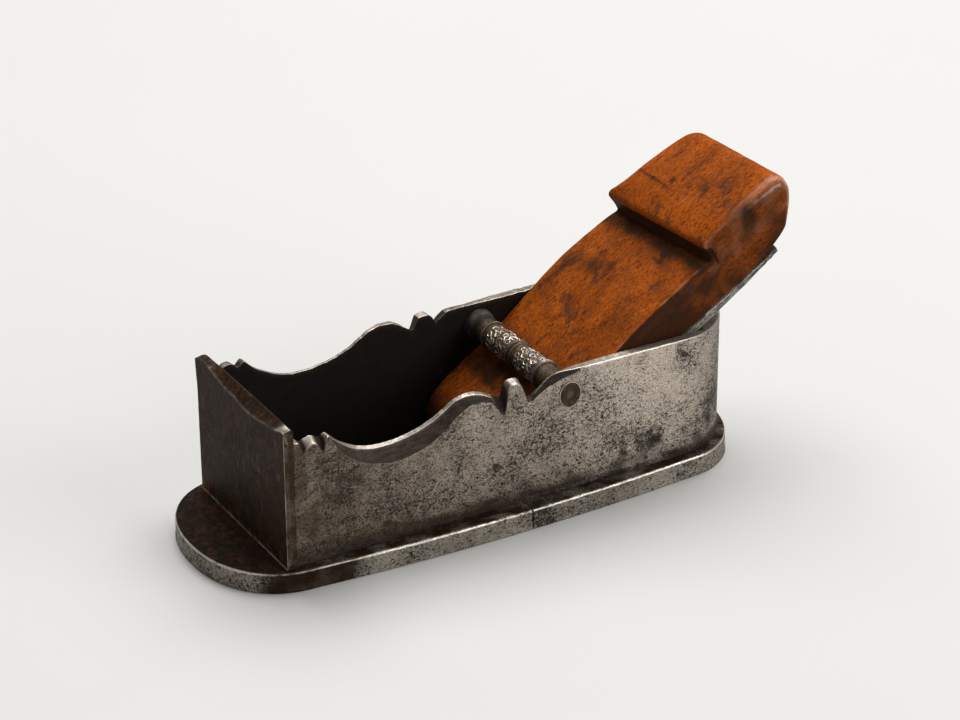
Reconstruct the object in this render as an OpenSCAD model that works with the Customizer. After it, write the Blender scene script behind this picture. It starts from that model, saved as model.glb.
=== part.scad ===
// Small iron mitre plane: a riveted iron box on a two-piece sole, with a turned bridge,
// a bedded bevel-up cutter and a wooden wedge. Millimetres, +Z up, toe towards -X.
// The origin is at the middle of the sole's length and width, on its underside.

/* [Sole] */
// Overall length of the sole, toe to heel
sole_length = 110; // [104:1:118]
// Width of the sole at the middle of its length
sole_mid_width = 42; // [40:0.5:46]
// Width of the sole where its round ends begin
sole_end_width = 38.6; // [37:0.2:40]
// Thickness of the sole plates
sole_thickness = 4.1; // [3:0.1:6]
// Length of the round toe, measured along the sole
toe_reach = 16; // [12:0.5:20]
// Length of the round heel, measured along the sole
heel_reach = 15.5; // [12:0.5:20]
// Squareness of the round ends, where 2 is an ellipse
end_power = 2.2; // [2:0.1:3]
// Where the two sole plates meet at the long edges, from the middle of the sole
sole_joint_x = 4.2; // [3.4:0.2:8]

/* [Body shell] */
// Outside width of the body
body_width = 35.1; // [34:0.1:36.5]
// Thickness of the bent side wall
wall = 2; // [1.6:0.1:2.6]
// Height of the sides above the sole
side_height = 24.5; // [23:0.5:28]
// Sole left bare in front of the body
toe_margin = 10.9; // [8:0.1:14]
// Sole left bare behind the body
heel_margin = 1.8; // [1.4:0.1:4]
// Outside radius of the bends at the back of the wall
back_radius = 14.6; // [10:0.2:17]

/* [Shaped top edge of the sides] */
// Lowest point of the long hollow, behind the front plate
hollow_set = 18.4; // [17:0.1:19.4]
// Depth of the long hollow below the level top edge
hollow_depth = 5; // [4:0.1:6]
// Radius of the hollow towards the toe
hollow_front_radius = 15.6; // [14:0.2:16.6]
// Middle of the round crest, from the middle of the sole
crest_x = -6.7; // [-7.5:0.1:-6.3]
// Radius of the round crest
crest_radius = 7.2; // [6.4:0.1:7.6]
// Height of the crest above the level top edge
crest_rise = 0.2; // [0.1:0.1:1]
// Height of the sloping cut on the outside of the hollow
bevel_drop = 3; // [1:0.2:4]
// Depth of that cut into the wall
bevel_depth = 1.3; // [0.6:0.1:1.5]
// Height of the little fingers above the level top edge
finger_rise = 0.6; // [0.2:0.1:1]
// Radius of the rear finger's round top
rear_finger_radius = 1.5; // [1.2:0.1:1.7]
// Middle of the rear finger, from the middle of the sole
rear_finger_x = 2.8; // [2.5:0.1:3.3]
// Depth of the rear notches below the level top edge
rear_notch_depth = 3.4; // [2:0.2:5]
// Radius of the front finger's round top
front_finger_radius = 1.1; // [0.8:0.1:1.3]
// Distance of the front finger behind the front plate
front_finger_set = 3.8; // [3.4:0.1:4.1]
// Depth of the front notches below the level top edge
front_notch_depth = 1.3; // [0.6:0.1:3]

/* [Front plate] */
// Thickness of the front plate
plate_thickness = 2; // [1.6:0.1:3]
// Height of the front plate above the level top edge
plate_rise = 3.4; // [1.5:0.1:6]
// Fall of the front plate's worn top edge towards the toe
plate_fall = 1.3; // [0.4:0.1:2]

/* [Bridge] */
// Bridge axis, from the middle of the sole
bridge_x = 13.9; // [13:0.1:15]
// Bridge axis above the sole's top face
bridge_height = 19.6; // [19:0.1:20.4]
// Radius of the bridge at its swollen middle
bridge_radius = 2.65; // [2.2:0.05:2.8]
// Radius of the three thin turned rings
ring_radius = 3.05; // [2.8:0.05:3.3]
// Width of each ring
ring_width = 1; // [0.6:0.1:1.4]
// Distance from each ring to the next
ring_pitch = 9.8; // [8:0.1:10.2]
// Middle ring, from the middle of the body's width
ring_shift = 1.6; // [0:0.1:2]
// Radius of the bridge in the necks beside the rings
neck_radius = 2.3; // [1.8:0.05:2.5]
// Radius of the bridge where it flares against the walls
flare_radius = 4; // [3.4:0.1:4.4]
// Radius of the riveted tenons that pass through the walls
tenon_radius = 2.3; // [1.8:0.1:2.6]

/* [Cutter] */
// Angle of the bed to the sole
bed_angle = 32; // [31:0.25:33]
// Thickness of the cutter
cutter_thickness = 2; // [1.6:0.1:2.2]
// Length of the cutter, measured along the bed
cutter_length = 74.5; // [68:0.5:80]
// Grinding angle of the cutting edge
grind_angle = 28; // [25:1:34]
// Thickness of the steel welded to the flat face
steel_thickness = 0.8; // [0.5:0.1:1.1]
// Length of that steel from the cutting edge
steel_length = 38; // [25:1:50]
// Cutting edge, from the middle of the sole
edge_x = -1.4; // [-2:0.1:-1]
// Width of the mouth in front of the cutting edge
mouth_gap = 0.9; // [0.7:0.1:1.6]

/* [Wedge] */
// Angle of the wedge's working face to the sole
working_angle = 39; // [37:0.5:41]
// Angle of the wedge's long upper face to the sole
upper_angle = 32; // [30:0.2:33]
// Distance up the bed from the edge to the blunt tip of the wedge
tip_setback = 7.2; // [5:0.2:9]
// Distance up the bed from the edge to the step below the head
step_setback = 61.2; // [54:0.2:66]
// Height of that step, square to the bed
step_height = 3.8; // [2:0.1:5]
// Thickness of the wedge above the cutter just below the step
shank_thickness = 9.1; // [8:0.1:10]
// Distance up the bed from the edge to the end of the head
head_setback = 82.2; // [78:0.2:88]
// Radius of the upper corner of the head
head_radius = 1.6; // [0.6:0.2:3]
// Length of the rounding under the head, measured up the bed
heel_round_length = 15; // [8:0.5:17]
// Height of that rounding, square to the bed
heel_round_height = 7.5; // [4:0.5:9]

/* [Bed block] */
// Gap between the bed block's back slope and the level top edge
block_drop = 0.7; // [0.3:0.1:3]
// Radius of the two pins that hold the bed block
pin_radius = 1.5; // [1:0.1:2]
// Distance of each pin from the middle of the sole's width
pin_spread = 8; // [5:0.5:10]
// Bed block pins, from the middle of the sole
pin_x = 34; // [28:0.5:38]
// Depth of the pins in the bed block
pin_depth = 11; // [6:0.5:13]

/* [Fits] */
// Gap left at each sliding face
slide_gap = 0.03; // [0.02:0.01:0.1]
// Gap between the cutter and each side wall
cutter_side_gap = 0.25; // [0.1:0.05:0.5]
// Gap between the wedge and each side wall
wedge_side_gap = 0.15; // [0.1:0.05:0.4]
// Gap left round the riveted tenons and pins
rivet_gap = 0.02; // [0.01:0.01:0.1]
// Gap between the bed block and the wall round it
block_gap = 0.05; // [0.02:0.01:0.3]

/* [Hidden] */
$fn = 96;
over = 1;
half_turn = 180;
quarter_turn = 90;
straight_down = 270;
end_steps = 20;
edge_steps = 12;
arc_steps = 14;

toe_tip_x = -sole_length / 2;
heel_tip_x = sole_length / 2;
toe_round_x = toe_tip_x + toe_reach;
heel_round_x = heel_tip_x - heel_reach;

body_half = body_width / 2;
inner_half = body_half - wall;
plate_front_x = toe_tip_x + toe_margin;
plate_back_x = plate_front_x + plate_thickness;
shell_back_x = heel_tip_x - heel_margin;
rim_z = sole_thickness + side_height;
finger_z = rim_z + finger_rise;

hollow_x = plate_back_x + hollow_set;
hollow_z = rim_z - hollow_depth;
crest_z = rim_z + crest_rise - crest_radius;
crest_reach = crest_x - hollow_x;
crest_fall = hollow_z - crest_z;
hollow_back_radius = (pow(crest_reach, 2) + pow(crest_fall, 2) - pow(crest_radius, 2))
                     / (2 * (crest_radius - crest_fall));
hollow_front_z = hollow_z + hollow_front_radius;
hollow_back_z = hollow_z + hollow_back_radius;
crest_turn = atan2(hollow_back_z - crest_z, hollow_x - crest_x);
crest_end_turn = 30;
tip_turn = half_turn + asin((hollow_front_z - finger_z) / hollow_front_radius);
tip_x = hollow_x + hollow_front_radius * cos(tip_turn);
front_finger_x = plate_back_x + front_finger_set;
front_notch_z = rim_z - front_notch_depth;
rear_notch_z = rim_z - rear_notch_depth;
crest_end_x = crest_x + crest_radius * cos(crest_end_turn);
notch_share = 1.6;
wide_notch_share = 2;
shoulder_radius = 1.5;
shoulder_share = 1.2;
first_notch_x = rear_finger_x - notch_share * rear_finger_radius;
second_notch_x = rear_finger_x + wide_notch_share * rear_finger_radius;
shoulder_x = second_notch_x + shoulder_share * shoulder_radius;
bevel_spare = 0.2;
bevel_overrun = 4;

bridge_z = sole_thickness + bridge_height;
near_ring = ring_shift - ring_pitch;
far_ring = ring_shift + ring_pitch;
flare_power = 4;
flare_start = ring_width - near_ring;
flare_share = pow((ring_radius - neck_radius) / (flare_radius - neck_radius), 1 / flare_power);
flare_clear = flare_start + (inner_half - flare_start) * flare_share;
mouth_front_x = edge_x - mouth_gap;

cutter_width = 2 * (inner_half - cutter_side_gap);
wedge_width = 2 * (inner_half - wedge_side_gap);
bevel_length = cutter_thickness / tan(grind_angle);
steel_bevel_length = steel_thickness / tan(grind_angle);
steel_end = min(steel_length, cutter_length - over);

wedge_seat = cutter_thickness + slide_gap;
bridge_u = (bridge_x - edge_x) * cos(bed_angle) + bridge_z * sin(bed_angle);
bridge_v = bridge_z * cos(bed_angle) - (bridge_x - edge_x) * sin(bed_angle);
working_turn = working_angle - bed_angle;
upper_turn = upper_angle - bed_angle;
contact_u = bridge_u + (ring_radius + slide_gap) * sin(working_turn);
contact_v = bridge_v - (ring_radius + slide_gap) * cos(working_turn);
step_v = wedge_seat + shank_thickness;
head_v = step_v + step_height;
upper_start_u = (step_v - step_setback * tan(upper_turn) - contact_v
                 + contact_u * tan(working_turn)) / (tan(working_turn) - tan(upper_turn));
pare_width = wedge_width / 2 - flare_clear + slide_gap;
pare_depth = flare_radius - ring_radius + slide_gap;
pare_run = upper_start_u - contact_u - flare_radius;
pare_spread = 3;
tip_share = 0.8;
tip_radius = tip_share * (working_v(tip_setback) - wedge_seat);

// Height above the bed of the wedge's working face, at a place up the bed
function working_v(u) = contact_v + (u - contact_u) * tan(working_turn);

// Points on the slope of the bed: u runs up the bed from the cutting edge, v stands square to it
function bed_point(u, v) = [edge_x + u * cos(bed_angle) - v * sin(bed_angle),
                            u * sin(bed_angle) + v * cos(bed_angle)];

// A list of such points
function bed_outline(points) = [for (p = points) bed_point(p[0], p[1])];

// Points of an arc about a centre, from one angle to another
function arc(x, z, radius, from, to, steps) =
    [for (i = [0 : steps]) let (turn = from + (to - from) * i / steps)
        [x + radius * cos(turn), z + radius * sin(turn)]];

// Half width of the sole at a place on its long edge, which bulges a little at the middle
function edge_half(x) =
    let (middle = (toe_round_x + heel_round_x) / 2, reach = (heel_round_x - toe_round_x) / 2)
    sole_mid_width / 2 - (sole_mid_width - sole_end_width) / 2 * pow((x - middle) / reach, 2);

// One quarter of a round end, from the long edge to the tip
function end_quarter(x, reach) =
    [for (i = [0 : end_steps]) let (turn = quarter_turn * i / end_steps)
        [x + reach * pow(sin(turn), 2 / end_power),
         sole_end_width / 2 * pow(cos(turn), 2 / end_power)]];

// Outline of the whole sole seen from above
module sole_outline() {
    toe_half = [for (p = end_quarter(-toe_round_x, toe_reach)) [-p[0], p[1]]];
    toe_start = [for (i = [end_steps : -1 : 0]) [toe_half[i][0], -toe_half[i][1]]];
    long_edge = [for (i = [1 : edge_steps - 1])
        let (x = toe_round_x + (heel_round_x - toe_round_x) * i / edge_steps) [x, -edge_half(x)]];
    heel_half = [for (p = end_quarter(heel_round_x, heel_reach)) [p[0], -p[1]]];
    near_side = concat(toe_start, long_edge, heel_half);
    far_side = [for (i = [len(near_side) - 2 : -1 : 1]) [near_side[i][0], -near_side[i][1]]];
    polygon(concat(near_side, far_side));
}

// A shape drawn in X and Z, given a width across the plane
module across(width) {
    rotate([quarter_turn, 0, 0])
        translate([0, 0, -width / 2])
            linear_extrude(width) children();
}

// The solid of the sole that lies behind the slope of the bed, between the mouth's sides
module behind_bed() {
    across(2 * inner_half)
        polygon([
            bed_point(-over, -slide_gap),
            bed_point(cutter_length, -slide_gap),
            [heel_tip_x + cutter_length, bed_point(cutter_length, -slide_gap)[1]],
            [heel_tip_x + cutter_length, -over]
        ]);
}

// U-shaped plan of the bent wall, set in from its outside by a given amount
module wall_plan(inset) {
    half = body_half - inset;
    back_x = shell_back_x - inset;
    bend = back_radius - inset;
    translate([plate_back_x, -half])
        square([back_x - bend - plate_back_x, 2 * half]);
    translate([back_x - 2 * bend, -half + bend])
        square([2 * bend, 2 * (half - bend)]);
    for (side = [-1, 1])
        translate([back_x - bend, side * (half - bend)]) circle(bend);
}

// Top edge of the sides, from the front plate to the level stretch behind the bridge
function rim_line() = concat(
    [[plate_back_x - over, finger_z]],
    [[plate_back_x + front_finger_radius / 2, finger_z]],
    [[front_finger_x - notch_share * front_finger_radius, front_notch_z]],
    arc(front_finger_x, finger_z - front_finger_radius, front_finger_radius,
        half_turn, 0, edge_steps / 2),
    [[front_finger_x + notch_share * front_finger_radius, front_notch_z]],
    arc(hollow_x, hollow_front_z, hollow_front_radius, tip_turn, straight_down, arc_steps),
    arc(hollow_x, hollow_back_z, hollow_back_radius, straight_down,
        crest_turn + half_turn, arc_steps),
    arc(crest_x, crest_z, crest_radius, crest_turn, crest_end_turn, arc_steps),
    [[first_notch_x, rear_notch_z]],
    arc(rear_finger_x, finger_z - rear_finger_radius, rear_finger_radius,
        half_turn, 0, edge_steps),
    [[second_notch_x, rear_notch_z]],
    arc(shoulder_x, rim_z - shoulder_radius, shoulder_radius,
        half_turn, quarter_turn, edge_steps / 2),
    [[shell_back_x + over, rim_z]]);

// The space above the slope of the bed, where the cutter and the wedge slide
module above_bed(width) {
    across(width)
        polygon([
            bed_point(-over, -slide_gap),
            bed_point(cutter_length, -slide_gap),
            bed_point(cutter_length, cutter_length),
            bed_point(-over, cutter_length)
        ]);
}

// Everything above the shaped top edge
module above_rim() {
    across(body_width + 2 * over)
        polygon(concat(rim_line(), [
            [shell_back_x + over, finger_z + hollow_back_radius],
            [plate_back_x - over, finger_z + hollow_back_radius]
        ]));
}

// One place along the sloping cut: its upper edge on the top of the wall, its lower edge outside
function bevel_place(x, z, radius, turn, drop) = [
    [x + radius * cos(turn), z + radius * sin(turn)],
    [x + (radius + drop) * cos(turn), z + (radius + drop) * sin(turn)]];

// Places along the sloping cut, from just before the tip of the hollow to just past the crest
function bevel_line() = concat(
    [bevel_place(hollow_x, hollow_front_z, hollow_front_radius,
                 tip_turn - bevel_overrun, bevel_drop / arc_steps)],
    [for (i = [1 : arc_steps])
        bevel_place(hollow_x, hollow_front_z, hollow_front_radius,
                    tip_turn + (straight_down - tip_turn) * i / arc_steps,
                    bevel_drop * min(1, (2 * i + 1) / arc_steps))],
    [for (i = [1 : arc_steps])
        bevel_place(hollow_x, hollow_back_z, hollow_back_radius,
                    straight_down + (crest_turn - quarter_turn) * i / arc_steps, bevel_drop)],
    [for (i = [1 : arc_steps])
        bevel_place(crest_x, crest_z, crest_radius,
                    crest_turn + (crest_end_turn - crest_turn) * i / arc_steps, -bevel_drop)],
    [bevel_place(crest_x, crest_z, crest_radius, crest_end_turn - bevel_overrun, -bevel_drop)]);

// Sloping cut along the hollow and over the crest, on the near side's outside face
module outside_bevel() {
    places = bevel_line();
    count = len(places);
    corners = [for (p = places)
        let (high = p[0] - bevel_spare * (p[1] - p[0]), low = p[1] + bevel_spare * (p[1] - p[0]))
        each [
            [high[0], -body_half + bevel_depth * (1 + bevel_spare), high[1]],
            [low[0], -body_half - bevel_depth * bevel_spare, low[1]],
            [high[0], -body_half - bevel_depth * bevel_spare, high[1]]
        ]];
    strips = [for (i = [0 : count - 2]) for (k = [0 : 2])
        let (a = 3 * i + k, b = 3 * i + (k + 1) % 3)
        each [[a, b + 3, a + 3], [a, b, b + 3]]];
    last = 3 * (count - 1);
    polyhedron(corners, concat(strips, [[2, 1, 0], [last, last + 1, last + 2]]));
}

// Front plate of the sole, with the mouth cut into its back end
module sole_front() {
    color([0.47, 0.42, 0.38])
        difference() {
            linear_extrude(sole_thickness)
                intersection() {
                    sole_outline();
                    translate([toe_tip_x - over, -sole_mid_width])
                        square([sole_joint_x - toe_tip_x + over, 2 * sole_mid_width]);
                }
            translate([mouth_front_x, -inner_half, -over])
                cube([sole_joint_x - mouth_front_x + over, 2 * inner_half,
                      sole_thickness + 2 * over]);
        }
}

// Rear plate of the sole, bevelled in the mouth to the slope of the bed
module sole_rear() {
    color([0.5, 0.46, 0.42])
        difference() {
            union() {
                linear_extrude(sole_thickness)
                    difference() {
                        sole_outline();
                        translate([toe_tip_x - over, -sole_mid_width])
                            square([sole_joint_x - toe_tip_x + over, 2 * sole_mid_width]);
                        translate([0, -inner_half])
                            square([heel_round_x, 2 * inner_half]);
                    }
                intersection() {
                    behind_bed();
                    translate([edge_x, -inner_half, 0])
                        cube([heel_round_x - edge_x, 2 * inner_half, sole_thickness]);
                }
            }
            translate([0, 0, -over]) pin_bars(pin_radius + rivet_gap);
        }
}

// One strip of iron bent round the back, its top edge filed to shape and its bends to the bed
module body_shell() {
    color([0.62, 0.59, 0.56])
        difference() {
            translate([0, 0, sole_thickness])
                linear_extrude(side_height + max(finger_rise, crest_rise) + over)
                    difference() {
                        wall_plan(0);
                        wall_plan(wall);
                        translate([plate_back_x - over, -inner_half])
                            square([2 * over, 2 * inner_half]);
                    }
            above_rim();
            above_bed(2 * (inner_half - slide_gap));
            outside_bevel();
            mirror([0, 1, 0]) outside_bevel();
            translate([bridge_x, 0, bridge_z])
                rotate([quarter_turn, 0, 0])
                    cylinder(h = body_width + 2 * over, r = tenon_radius + rivet_gap,
                             center = true);
        }
}

// Flat iron plate across the front, its top edge worn to a slope
module front_plate() {
    color([0.45, 0.39, 0.34])
        across(body_width)
            polygon([
                [plate_front_x, sole_thickness],
                [plate_back_x, sole_thickness],
                [plate_back_x, rim_z + plate_rise],
                [plate_front_x, rim_z + plate_rise - plate_fall]
            ]);
}

// Turned outline of one ring with the neck on each side of it
function ring_line(y) = [
    [neck_radius, y - ring_width],
    [ring_radius, y - ring_width / 2],
    [ring_radius, y + ring_width / 2],
    [neck_radius, y + ring_width]];

// Swelling of the bar between two rings
function swell_line(from, to) = [for (i = [1 : edge_steps - 1]) let (t = i / edge_steps)
    [neck_radius + (bridge_radius - neck_radius) * sin(half_turn * t), from + (to - from) * t]];

// Flare of the bar from a neck to the wall
function flare_line(from, to) = [for (i = [1 : edge_steps]) let (t = i / edge_steps)
    [neck_radius + (flare_radius - neck_radius) * pow(t, flare_power), from + (to - from) * t]];

// The same points in the other order
function reversed(points) = [for (i = [len(points) - 1 : -1 : 0]) points[i]];

// The bridge's turned outline, from the near riveted end to the far one
function bridge_line() =
    concat(
        [[0, -body_half], [tenon_radius, -body_half], [tenon_radius, -inner_half]],
        reversed(flare_line(near_ring - ring_width, -inner_half)),
        ring_line(near_ring),
        swell_line(near_ring + ring_width, ring_shift - ring_width),
        ring_line(ring_shift),
        swell_line(ring_shift + ring_width, far_ring - ring_width),
        ring_line(far_ring),
        flare_line(far_ring + ring_width, inner_half),
        [[tenon_radius, inner_half], [tenon_radius, body_half], [0, body_half]]);

// Turned bar across the body, its tenons riveted in the side walls
module bridge() {
    color([0.5, 0.46, 0.41])
        translate([bridge_x, 0, bridge_z])
            rotate([-quarter_turn, 0, 0])
                rotate_extrude() polygon(bridge_line());
}

// Wooden block behind the mouth, sloped to carry the cutter
module bed_block() {
    color([0.42, 0.24, 0.13])
        difference() {
            translate([0, 0, sole_thickness])
                linear_extrude(side_height - block_drop)
                    intersection() {
                        wall_plan(wall + block_gap);
                        translate([sole_joint_x + sole_thickness, -body_half])
                            square([shell_back_x, body_width]);
                    }
            above_bed(body_width);
            pin_bars(pin_radius + rivet_gap);
        }
}

// Two upright round bars where the bed block's pins stand
module pin_bars(radius) {
    for (side = [-1, 1])
        translate([pin_x, side * pin_spread, 0])
            cylinder(h = sole_thickness + pin_depth, r = radius);
}

// Two iron pins, riveted flush in the sole, that hold the bed block from below
module bed_block_pins() {
    color([0.35, 0.33, 0.31]) pin_bars(pin_radius);
}

// Wrought body of the cutter
module cutter_iron() {
    color([0.55, 0.53, 0.5])
        across(cutter_width)
            polygon(bed_outline([
                [steel_bevel_length, steel_thickness],
                [bevel_length, cutter_thickness],
                [cutter_length, cutter_thickness],
                [cutter_length, 0],
                [steel_end, 0],
                [steel_end, steel_thickness]
            ]));
}

// Steel welded along the flat face, ground to the cutting edge
module cutter_steel() {
    color([0.68, 0.68, 0.68])
        across(cutter_width)
            polygon(bed_outline([
                [0, 0],
                [steel_bevel_length, steel_thickness],
                [steel_end, steel_thickness],
                [steel_end, 0]
            ]));
}

// Corner pared off the wedge's far edge to pass the bridge's flare, running out up the wedge
module pared_corner() {
    reach = upper_start_u + over;
    start = bed_point(reach, step_v);
    half = wedge_width / 2;
    translate([start[0], 0, start[1]])
        rotate([0, -working_angle - atan(pare_depth / pare_run), 0])
            translate([-reach, 0, 0])
                rotate([quarter_turn, 0, quarter_turn])
                    linear_extrude(reach)
                        polygon([
                            [half - pare_spread * pare_width, pare_spread * pare_depth],
                            [half + over, -pare_depth * over / pare_width],
                            [half + over, pare_spread * pare_depth]
                        ]);
}

// Hardwood wedge, driven between the cutter and the bridge
module wedge() {
    color([0.66, 0.36, 0.14])
        difference() {
            across(wedge_width)
                polygon(bed_outline(concat(
                    [[tip_setback, wedge_seat]],
                    arc(tip_setback + tip_radius, working_v(tip_setback + tip_radius) - tip_radius,
                        tip_radius, half_turn, quarter_turn + working_turn, edge_steps),
                    [[upper_start_u, working_v(upper_start_u)]],
                    [[step_setback, step_v], [step_setback, head_v]],
                    arc(head_setback - head_radius, head_v - head_radius, head_radius,
                        quarter_turn, 0, edge_steps),
                    [for (p = arc(0, 0, 1, 0, -quarter_turn, edge_steps))
                        [head_setback + heel_round_length * (p[0] - 1),
                         wedge_seat + heel_round_height * (p[1] + 1)]])));
            pared_corner();
            mirror([0, 1, 0]) pared_corner();
        }
}

sole_front();
sole_rear();
body_shell();
front_plate();
bridge();
bed_block();
bed_block_pins();
cutter_iron();
cutter_steel();
wedge();
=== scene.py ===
import math

import bpy
import numpy as np
from mathutils import Matrix, Vector, noise


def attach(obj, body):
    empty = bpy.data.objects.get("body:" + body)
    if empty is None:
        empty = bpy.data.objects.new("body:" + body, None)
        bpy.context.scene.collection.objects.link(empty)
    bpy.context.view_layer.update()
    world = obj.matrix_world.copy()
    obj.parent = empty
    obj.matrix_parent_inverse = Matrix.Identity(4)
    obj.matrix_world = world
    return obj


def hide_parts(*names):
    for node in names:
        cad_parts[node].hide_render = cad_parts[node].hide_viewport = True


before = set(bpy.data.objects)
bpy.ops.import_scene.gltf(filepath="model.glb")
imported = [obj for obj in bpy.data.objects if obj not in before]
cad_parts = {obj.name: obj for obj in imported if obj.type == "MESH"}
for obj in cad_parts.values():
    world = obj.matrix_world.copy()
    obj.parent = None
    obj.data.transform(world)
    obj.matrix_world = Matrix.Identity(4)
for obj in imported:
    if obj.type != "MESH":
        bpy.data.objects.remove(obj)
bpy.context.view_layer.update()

# The bench: a plain pale top under soft lamps. The camera stands in front of the toe on the
# near side, at the place from which the photograph was taken.

MM = 0.001
BENCH_PALE, BENCH_DARKER = (0.60, 0.59, 0.575, 1), (0.57, 0.56, 0.55, 1)
BENCH_RINGS, BENCH_SIDES = (0.05, 0.3, 1.0, 2.4, 5.0), 48
AIR_SEEN, AIR_LIT = (1.1, 1.09, 1.07, 1), (0.50, 0.492, 0.48, 1)
CAMERA_TURN, CAMERA_TILT, CAMERA_ROLL = -29.868, 27.14, -0.289
CAMERA_BACK, CAMERA_RIGHT, CAMERA_UP, AIM_X = 596.314, 8.710, 24.808, -5
LENS, SENSOR_WIDTH = 120.14, 36
scene = bpy.context.scene


def place(tree, kind, **settings):
    made = tree.nodes.new("ShaderNode" + kind)
    for label, value in settings.items():
        setattr(made, label, value)
    return made


def feed(tree, socket, source):
    if isinstance(source, bpy.types.NodeSocket):
        tree.links.new(source, socket)
    else:
        socket.default_value = source


def tint(tree, share, first, second, way="MIX"):
    made = place(tree, "Mix", data_type="RGBA", blend_type=way, clamp_factor=True)
    for number, source in ((0, share), (6, first), (7, second)):
        feed(tree, made.inputs[number], source)
    return made.outputs[2]


def between(tree, source, low, high, to_low=0.0, to_high=1.0):
    made = place(tree, "MapRange", interpolation_type="SMOOTHSTEP")
    for label, value in (("Value", source), ("From Min", low), ("From Max", high),
                         ("To Min", to_low), ("To Max", to_high)):
        feed(tree, made.inputs[label], value)
    return made.outputs["Result"]


def mottle(tree, spot, scale, detail=3.0, rough=0.55, warp=0.0):
    made = place(tree, "TexNoise")
    for label, value in (("Vector", spot), ("Scale", scale), ("Detail", detail),
                         ("Roughness", rough), ("Distortion", warp)):
        feed(tree, made.inputs[label], value)
    return made.outputs[0]


def plain_material(name):
    material = bpy.data.materials.new(name)
    material.use_nodes = True
    return material, material.node_tree, material.node_tree.nodes["Principled BSDF"]


def stood(name, data):
    made = bpy.data.objects.new(name, data)
    scene.collection.objects.link(made)
    return made


def ring_faces(count, around):
    """Faces between rings of points and one inside the first ring, as lists of corners."""
    here = np.arange(count * around).reshape(count, around)
    beside = np.roll(here, -1, axis=1)
    faces = np.stack([here[:-1], beside[:-1], beside[1:], here[1:]], -1).reshape(-1, 4).tolist()
    return faces + [here[0][::-1].tolist()]


bench_turns = [math.tau * k / BENCH_SIDES for k in range(BENCH_SIDES)]
bench_points = [(r * math.cos(a), r * math.sin(a), 0) for r in BENCH_RINGS for a in bench_turns]
bench_mesh = bpy.data.meshes.new("bench_top")
bench_mesh.from_pydata(bench_points, [], ring_faces(len(BENCH_RINGS), BENCH_SIDES))
bench = stood("bench_top", bench_mesh)

bench_paint, tree, shader = plain_material("bench_paint")
cloud = mottle(tree, place(tree, "TexCoord").outputs["Object"], 9.0, 4.0)
feed(tree, shader.inputs["Base Color"], tint(tree, cloud, BENCH_PALE, BENCH_DARKER))
feed(tree, shader.inputs["Roughness"], between(tree, cloud, 0.3, 0.7, 0.42, 0.52))
shader.inputs["Specular IOR Level"].default_value = 0.3
bench_mesh.materials.append(bench_paint)

world = bpy.data.worlds.new("studio_air")
world.use_nodes = True
scene.world = world
tree = world.node_tree
air = tree.nodes["Background"]
seen = place(tree, "LightPath").outputs["Is Camera Ray"]
feed(tree, air.inputs["Color"], tint(tree, seen, AIR_LIT, AIR_SEEN))
air.inputs["Strength"].default_value = 0.5


def lamp(name, at, aim, size, power):
    light = bpy.data.lights.new(name, "AREA")
    light.shape = "RECTANGLE"
    light.size, light.size_y = size
    light.energy = power
    holder = stood(name, light)
    holder.location = at
    holder.rotation_mode = "QUATERNION"
    holder.rotation_quaternion = (Vector(aim) - Vector(at)).to_track_quat("-Z", "Y")


lamp("overhead_softbox", (0.22, 0.32, 0.78), (0.0, 0.0, 0.02), (1.0, 0.75), 11.5)
lamp("near_fill", (0.55, -0.75, 0.45), (0.01, 0.0, 0.02), (0.7, 0.5), 5.0)

turn, tilt, roll = map(math.radians, (CAMERA_TURN, CAMERA_TILT, CAMERA_ROLL))
back = Vector((math.sin(turn) * math.cos(tilt), -math.cos(turn) * math.cos(tilt), math.sin(tilt)))
level = Vector((math.cos(turn), math.sin(turn), 0))
upright = back.cross(level)
view_right = level * math.cos(roll) + upright * math.sin(roll)
view_up = upright * math.cos(roll) - level * math.sin(roll)
lens = bpy.data.cameras.new("photo_camera")
lens.lens, lens.sensor_width, lens.clip_start = LENS, SENSOR_WIDTH, 0.01
camera = stood("photo_camera", lens)
camera.matrix_world = Matrix.Translation(
    (back * CAMERA_BACK + view_right * CAMERA_RIGHT + view_up * CAMERA_UP
     + Vector((AIM_X, 0, 0))) * MM
) @ Matrix((view_right, view_up, back)).transposed().to_4x4()
scene.camera = camera
scene.view_settings.view_transform = "Standard"


# The sole: two flat plates of wrought iron, butted beside the mouth, with round ends. Red-brown
# with old rust on top, rubbed bright along its rim, pitted on its edge.

SOLE_LENGTH, SOLE_THICK = 110.0, 4.1
SOLE_MIDDLE_HALF, SOLE_END_HALF = 21.0, 19.3
TOE_ROUND, HEEL_ROUND, END_POWER = -39.0, 39.5, 2.2
SOLE_JOINT, MOUTH_FRONT, MOUTH_HALF = 4.2, -2.3, 15.55
EDGE_X, BED = -1.4, math.radians(32)
JOINT_GAP, MOUTH_EASE, BESIDE_MOUTH, OUTLINE_STEP = 0.03, 0.05, 2.1, 0.40


def lumps(points, size, seed):
    """Smooth unevenness, from -1 to 1, at each point; size is in millimetres."""
    flat = np.asarray(points, float).reshape(-1, 3) / size + seed
    return np.array([noise.noise(p) for p in flat.tolist()]).reshape(np.shape(points)[:-1])


def rise(values, low, high):
    """Nothing up to low, one from high on, and a soft rise between them."""
    t = np.clip((np.asarray(values, float) - low) / (high - low), 0, 1)
    return t * t * (3 - 2 * t)


def band(values, low, start, end, high):
    """One from start to end, and nothing before low or after high."""
    return rise(values, low, start) * (1 - rise(values, end, high))


def mark(values, at, half):
    """One at a place, fading softly on both sides of it."""
    return np.exp(-((values - at) / half) ** 2)


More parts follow.
